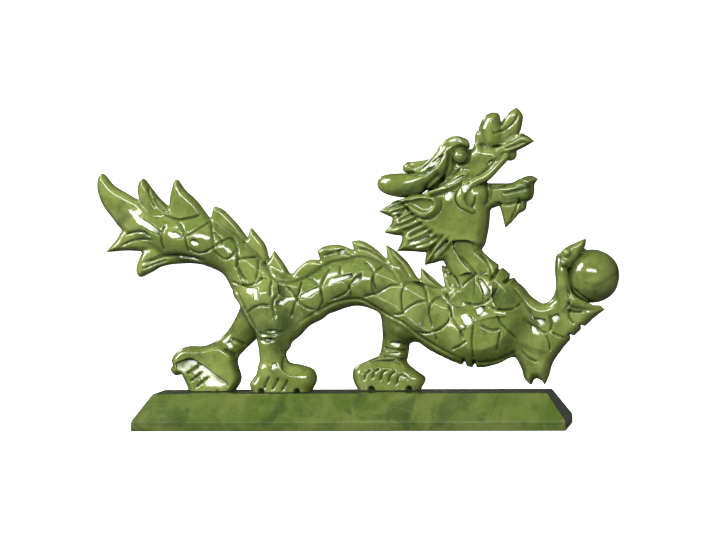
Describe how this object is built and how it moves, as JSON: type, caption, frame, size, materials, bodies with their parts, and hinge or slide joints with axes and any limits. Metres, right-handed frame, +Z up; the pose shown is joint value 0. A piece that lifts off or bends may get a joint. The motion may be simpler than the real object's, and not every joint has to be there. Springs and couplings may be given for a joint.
{
  "type": "carved jade dragon ornament on a plinth",
  "caption": "Carved green jade dragon walking with its head raised and a pearl in its front claw, on a long bevelled jade plinth.",
  "frame": {"origin": "centre of the plinth's underside", "axes": "+X from the tail to the pearl, along the plinth's length; +Y away from the side carved for show; +Z up"},
  "size_m": [0.2041, 0.041, 0.1239],
  "materials": {
    "dragon_jade": "polished",
    "base_jade": "polished"
  },
  "bodies": {
    "root": {"dragon": "dragon_jade", "base": "base_jade"}
  },
  "joints": []
}
